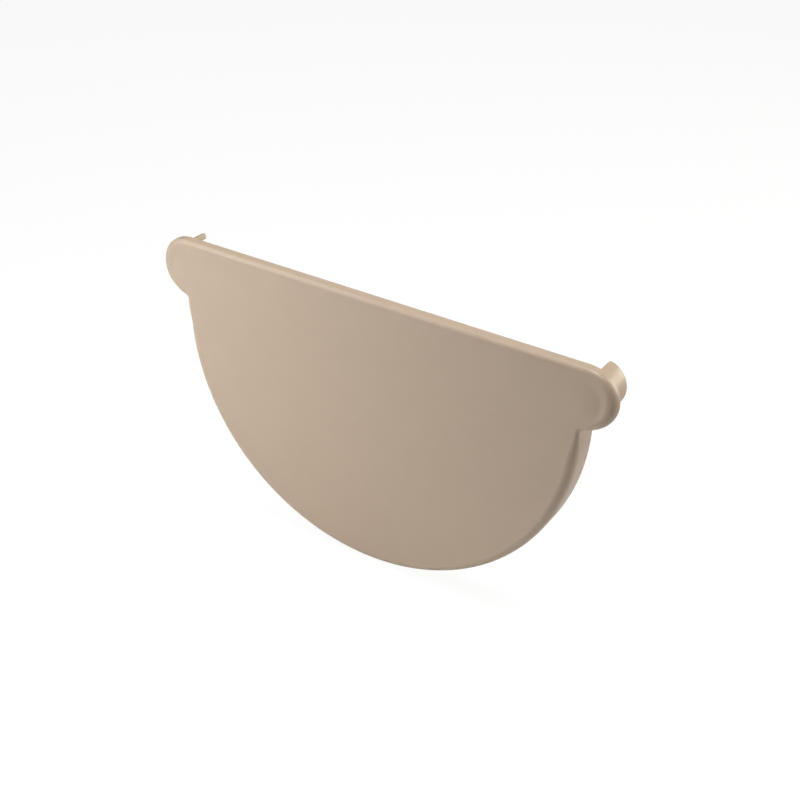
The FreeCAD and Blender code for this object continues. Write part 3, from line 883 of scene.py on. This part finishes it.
def plastic_material(name, groups, finish, gate, side, dulling):
    """The sand plastic as one side of the mould leaves it, with its roughness raised by the dulling."""
    material = bpy.data.materials.new(name)
    material.use_nodes = True
    sheet = NodeSheet(material.node_tree)
    place = sheet.add("ShaderNodeTexCoord").outputs["Object"]
    exposure = sheet.add("ShaderNodeAttribute", attribute_name="exposed_edge").outputs["Fac"]
    flow = sheet.add("ShaderNodeGroup", {
        "Place": place, "Gate": gate, "Streaks": STREAK_SCALE, "Cloud Size": CLOUD_SIZE},
        node_tree=groups["melt_flow"]).outputs
    grain = sheet.add("ShaderNodeGroup", {
        "Place": place, "Grain Size": side.grain_size,
        "Ripple Size": RIPPLE_SIZE, "Ripple Share": RIPPLE_SHARE},
        node_tree=groups["moulding_grain"]).outputs
    # The sharp outer edges, broken up in patches: there the roughness is lowered and a painted sheen
    # lightens the colour.
    rub_and_sheen = sheet.add("ShaderNodeGroup", {
        "Place": place, "Exposure": exposure, "Patch Size": PATCH_SIZE},
        node_tree=groups["edge_rub_and_sheen"]).outputs["Rub And Sheen"]

    # Brightness of the colour: 1 on average, a little up and down with the melt and the grain, and raised
    # by a painted sheen along the sharp outer edges.
    streaked = sheet.math("MULTIPLY_ADD", flow["Streak"], finish.streaks, 1.0 - finish.streaks / 2)
    clouded = sheet.math("MULTIPLY_ADD", flow["Cloud"], finish.clouds, -finish.clouds / 2)
    flecked = sheet.math("MULTIPLY_ADD", grain["Fleck"], side.flecks, -side.flecks / 2)
    # Painted sheen: the colour is made lighter along the sharp outer edges.
    rubbed_and_sheen = sheet.math("MULTIPLY", rub_and_sheen, finish.painted_edge_sheen)
    level = sheet.math("ADD", sheet.math("ADD", streaked, clouded), sheet.math("ADD", flecked, rubbed_and_sheen))
    colour = sheet.add("ShaderNodeVectorMath", {0: finish.colour, "Scale": level}, operation="SCALE")
    evenly_rough = side.roughness + dulling - CLOUD_DULLING / 2
    roughness = sheet.math("MULTIPLY_ADD", flow["Cloud"], CLOUD_DULLING, evenly_rough)
    roughness = sheet.math("MULTIPLY_ADD", rub_and_sheen, -finish.rubbed_gloss, roughness)
    bump = sheet.add("ShaderNodeBump", {
        "Height": grain["Height"], "Distance": side.grain_height, "Strength": 1.0})
    shader = sheet.add("ShaderNodeBsdfPrincipled", {
        "Base Color": colour.outputs["Vector"], "Roughness": roughness,
        "Normal": bump.outputs["Normal"], "IOR": finish.ior})
    sheet.add("ShaderNodeOutputMaterial", {"Surface": shader.outputs["BSDF"]})
    return material


def floor_material():
    """A pale matte floor. The camera sees it almost evenly lit, with a trace of the soft shadow."""
    material = bpy.data.materials.new("studio_floor")
    material.use_nodes = True
    sheet = NodeSheet(material.node_tree)
    matte = sheet.add("ShaderNodeBsdfPrincipled", {
        "Base Color": FLOOR_COLOUR, "Roughness": 1.0, "Specular IOR Level": 0.0})
    even = sheet.add("ShaderNodeEmission", {"Color": WHITE, "Strength": FLOOR_WHITE})
    seen = sheet.add("ShaderNodeLightPath").outputs["Is Camera Ray"]
    cover = sheet.math("MULTIPLY", seen, FLOOR_COVER)
    mix = sheet.add("ShaderNodeMixShader", {
        0: cover, 1: matte.outputs["BSDF"], 2: even.outputs["Emission"]})
    sheet.add("ShaderNodeOutputMaterial", {"Surface": mix.outputs["Shader"]})
    return material


def studio_world(glow):
    """White to the camera. As light it is dark in front of the cap and rises to a glow behind it."""
    world = bpy.data.worlds.new("studio_world")
    world.use_nodes = True
    sheet = NodeSheet(world.node_tree)
    direction = sheet.add("ShaderNodeTexCoord").outputs["Generated"]
    rearward = sheet.add("ShaderNodeSeparateXYZ", {"Vector": direction}).outputs["Y"]
    ramp = sheet.add("ShaderNodeMapRange", {
        "Value": rearward, "From Min": GLOW_START, "From Max": GLOW_FULL, "To Min": 0.0, "To Max": glow},
        interpolation_type="SMOOTHSTEP").outputs["Result"]
    seen = sheet.add("ShaderNodeLightPath").outputs["Is Camera Ray"]
    strength = sheet.math("MAXIMUM", ramp, seen)
    background = sheet.add("ShaderNodeBackground", {"Color": WHITE, "Strength": strength})
    sheet.add("ShaderNodeOutputWorld", {"Surface": background.outputs["Background"]})
    return world


# Operators.

class ENDCAP_OT_mould(Operator):
    """Mould the end cap's skin in place of the plain solid"""

    bl_idname = "endcap.mould"
    bl_label = "Mould End Cap"

    def execute(self, context):
        scene = context.scene
        sizes, finish = scene.end_cap_sizes, scene.end_cap_finish
        halves = cap_patches(sizes)
        cavity, core = (half + [mirrored(patch) for patch in half] for half in halves)
        face = face_patch(sizes, chain(*outline_runs(sizes)))
        mesh = skin_mesh("end_cap_skin", [face] + cavity, core)
        cap = bpy.data.objects.new("end_cap_skin", mesh)
        scene.collection.objects.link(cap)
        groups = {make.__name__: make() for make in (moulding_grain, melt_flow, edge_rub_and_sheen)}
        gate = (sizes.gate_place[0], FACE_Y, sizes.gate_place[1])
        sides = (("cavity_side", finish.cavity, 0.0), ("core_side", finish.core, finish.core_dulling))
        for name, side, dulling in sides:
            mesh.materials.append(plastic_material(name, groups, finish, gate, side, dulling))
        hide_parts("end_cap")
        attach(cap, "root")
        return {"FINISHED"}


class ENDCAP_OT_studio(Operator):
    """Set up the floor, the lights and the camera"""

    bl_idname = "endcap.studio"
    bl_label = "Set Up Studio"

    def execute(self, context):
        scene = context.scene
        studio = scene.end_cap_studio
        add_floor(scene)
        add_camera(scene, studio)
        for name, settings in SOFT_LIGHTS.items():
            add_soft_light(scene, name, studio.light_level, *settings)
        scene.world = studio_world(studio.rear_glow)
        scene.view_settings.view_transform = "Standard"
        return {"FINISHED"}


def add_floor(scene):
    """A large pale floor under the cap."""
    corners = [(x * FLOOR_HALF, y * FLOOR_HALF, LOW.z) for x, y in ((-1, -1), (1, -1), (1, 1), (-1, 1))]
    mesh = bpy.data.meshes.new("studio_floor")
    mesh.from_pydata(corners, [], [(0, 1, 2, 3)])
    floor = bpy.data.objects.new("studio_floor", mesh)
    scene.collection.objects.link(floor)
    mesh.materials.append(floor_material())


def seen_from(azimuth, elevation):
    """The direction at a turn to the right of the face's own axis and at an angle above level."""
    return Vector((math.sin(azimuth) * math.cos(elevation), -math.cos(azimuth) * math.cos(elevation),
                   math.sin(elevation)))


def camera_frame(studio):
    """The camera's place and its right, up and back directions."""
    target = Vector((studio.aim[0], FACE_Y, studio.aim[1]))
    azimuth, roll = studio.azimuth, studio.roll
    back = seen_from(azimuth, studio.elevation)
    level = Vector((math.cos(azimuth), math.sin(azimuth), 0))
    upright = back.cross(level)
    right = math.cos(roll) * level + math.sin(roll) * upright
    up = math.cos(roll) * upright - math.sin(roll) * level
    return target + studio.distance * back, right, up, back


def add_camera(scene, studio):
    """The camera at the photograph's viewing angle."""
    place, right, up, back = camera_frame(studio)
    data = bpy.data.cameras.new("studio_camera")
    data.sensor_width = SENSOR_WIDTH
    data.lens = studio.lens
    data.clip_start = NEAR_CLIP
    camera = bpy.data.objects.new("studio_camera", data)
    scene.collection.objects.link(camera)
    camera.matrix_world = Matrix((
        (right.x, up.x, back.x, place.x), (right.y, up.y, back.y, place.y),
        (right.z, up.z, back.z, place.z), (0, 0, 0, 1)))
    scene.camera = camera


def add_soft_light(scene, name, level, azimuth, elevation, distance, width, brightness, colour):
    """A square light that faces the origin. The camera sees its light but not the light itself."""
    away = seen_from(math.radians(azimuth), math.radians(elevation))
    data = bpy.data.lights.new(name, "AREA")
    data.shape = "SQUARE"
    data.size = width
    data.energy = level * brightness * math.pi * width ** 2
    data.color = colour
    light = bpy.data.objects.new(name, data)
    light.visible_camera = False
    scene.collection.objects.link(light)
    turn = away.to_track_quat("Z", "Y").to_matrix().to_4x4()
    light.matrix_world = Matrix.Translation(distance * away) @ turn


class ENDCAP_PT_sidebar(Panel):
    """Sizes, finish and studio of the end cap"""

    bl_idname = "ENDCAP_PT_sidebar"
    bl_label = "Gutter End Cap"
    bl_space_type = "VIEW_3D"
    bl_region_type = "UI"
    bl_category = "End Cap"

    def draw(self, context):
        scene = context.scene
        for title, group in (("Sizes", scene.end_cap_sizes), ("Finish", scene.end_cap_finish),
                             ("Studio", scene.end_cap_studio)):
            box = self.layout.box()
            box.label(text=title)
            for name in group.__annotations__:
                box.prop(group, name)
        for step in STEPS:
            self.layout.operator(step.bl_idname)


GROUPS = {
    "end_cap_sizes": EndCapSizes,
    "end_cap_finish": EndCapFinish,
    "end_cap_studio": EndCapStudio,
}
STEPS = (ENDCAP_OT_mould, ENDCAP_OT_studio)


def register():
    for kind in (MouldSide, *GROUPS.values(), *STEPS, ENDCAP_PT_sidebar):
        bpy.utils.register_class(kind)
    for name, group in GROUPS.items():
        setattr(bpy.types.Scene, name, PointerProperty(type=group))


def unregister():
    for name in GROUPS:
        delattr(bpy.types.Scene, name)
    for kind in (ENDCAP_PT_sidebar, *reversed(STEPS), *GROUPS.values(), MouldSide):
        bpy.utils.unregister_class(kind)


def main():
    """Register the add-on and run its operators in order."""
    register()
    bpy.ops.endcap.mould()
    bpy.ops.endcap.studio()


if __name__ == "__main__":
    main()
